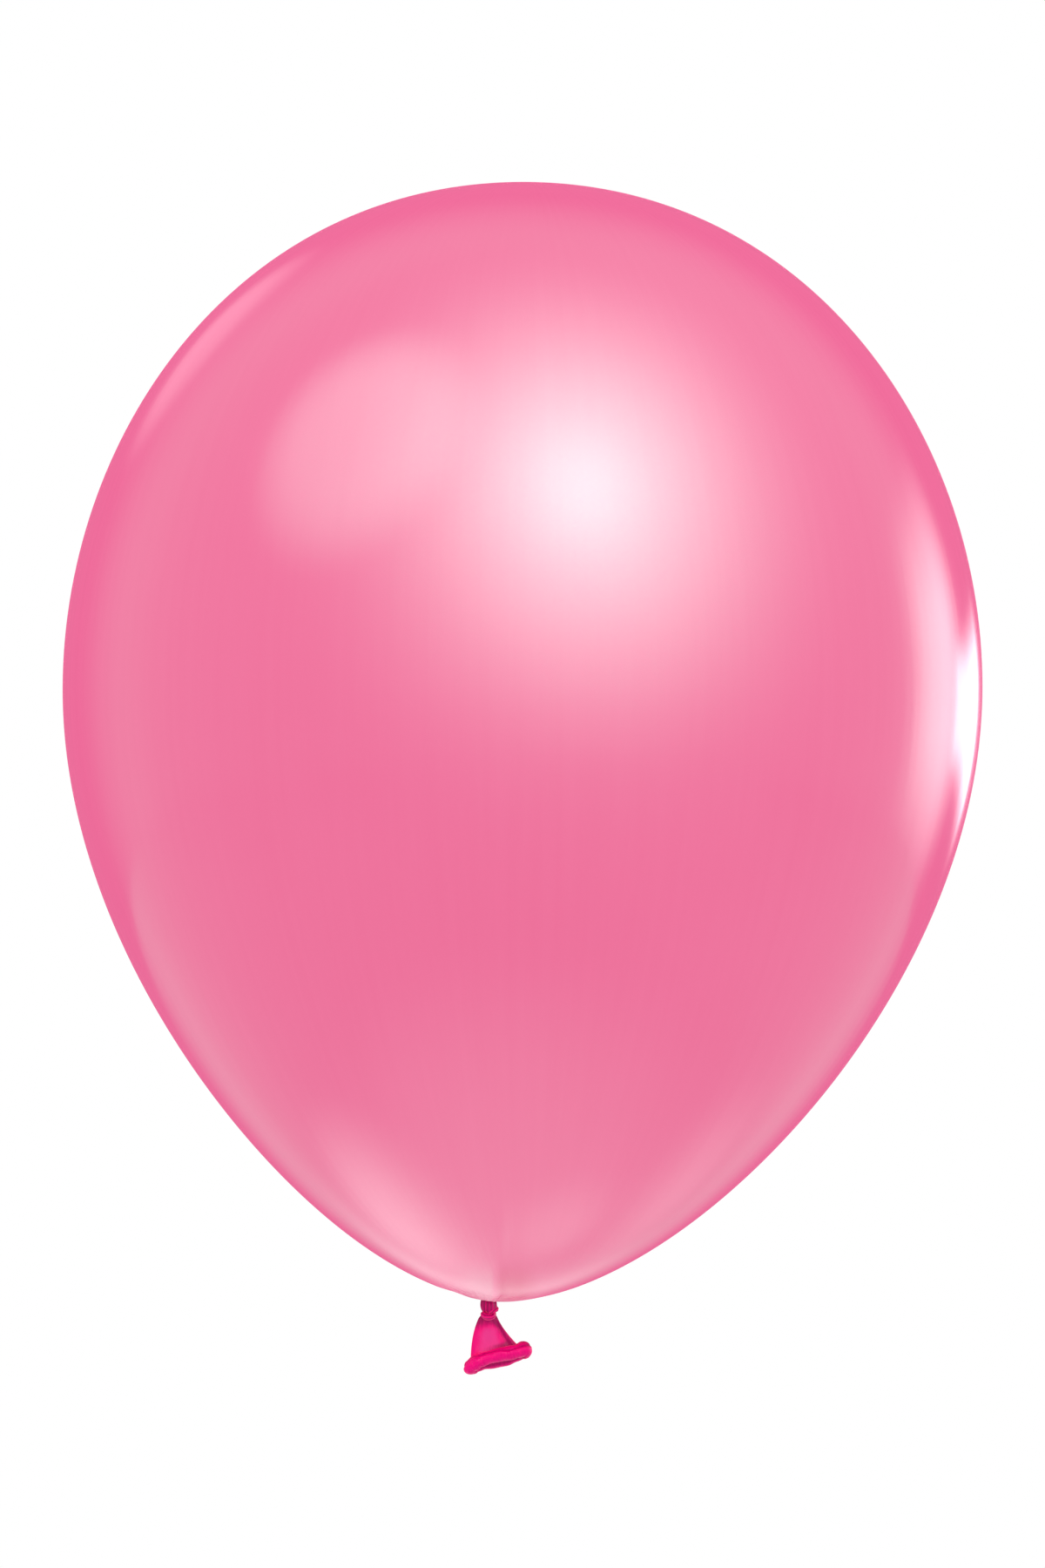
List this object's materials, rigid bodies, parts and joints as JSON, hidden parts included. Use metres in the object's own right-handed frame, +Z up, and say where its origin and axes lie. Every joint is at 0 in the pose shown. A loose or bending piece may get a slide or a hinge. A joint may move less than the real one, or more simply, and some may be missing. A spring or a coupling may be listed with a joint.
{
  "type": "latex balloon",
  "caption": "Round-topped pear-shaped party balloon of thin rubber, blown up and tied in its own neck, with a knot and a short flattened tail ending in a rolled rim.",
  "frame": {"origin": "the tie, at the middle of the neck's domed top, where the film is pinched shut below the bulb", "axes": "+Z up from the tie to the crown, -Y the front that the picture shows, +X to its right"},
  "size_m": [0.2999, 0.3, 0.3882],
  "materials": {
    "stretched_film": "pink latex stretched thin, smooth and glossy with a pearly sheen",
    "slack_film": "deep pink unstretched latex, satin"
  },
  "bodies": {
    "neck": {"neck_waist": "slack_film"},
    "bulb": {"envelope": "stretched_film", "throat_pleats": "stretched_film"},
    "knot": {"knot": "slack_film"},
    "tail": {"tail": "slack_film", "mouth_rim": "slack_film"}
  },
  "joints": [
    {"name": "bulb_sway", "type": "hinge", "parent": "neck", "child": "bulb", "pos_m": [0, 0, 0], "axis": [0, 1, 0], "range_deg": [-12, 12], "stiffness_Nm_per_rad": 0.02},
    {"name": "knot_swing", "type": "hinge", "parent": "neck", "child": "knot", "pos_m": [0, 0, -0.0026], "axis": [1, 0, 0], "range_deg": [-20, 20], "stiffness_Nm_per_rad": 0.0002},
    {"name": "tail_flop", "type": "hinge", "parent": "knot", "child": "tail", "pos_m": [0, 0, -0.0073], "axis": [1, 0, 0], "range_deg": [-45, 45], "stiffness_Nm_per_rad": 0.0001}
  ]
}
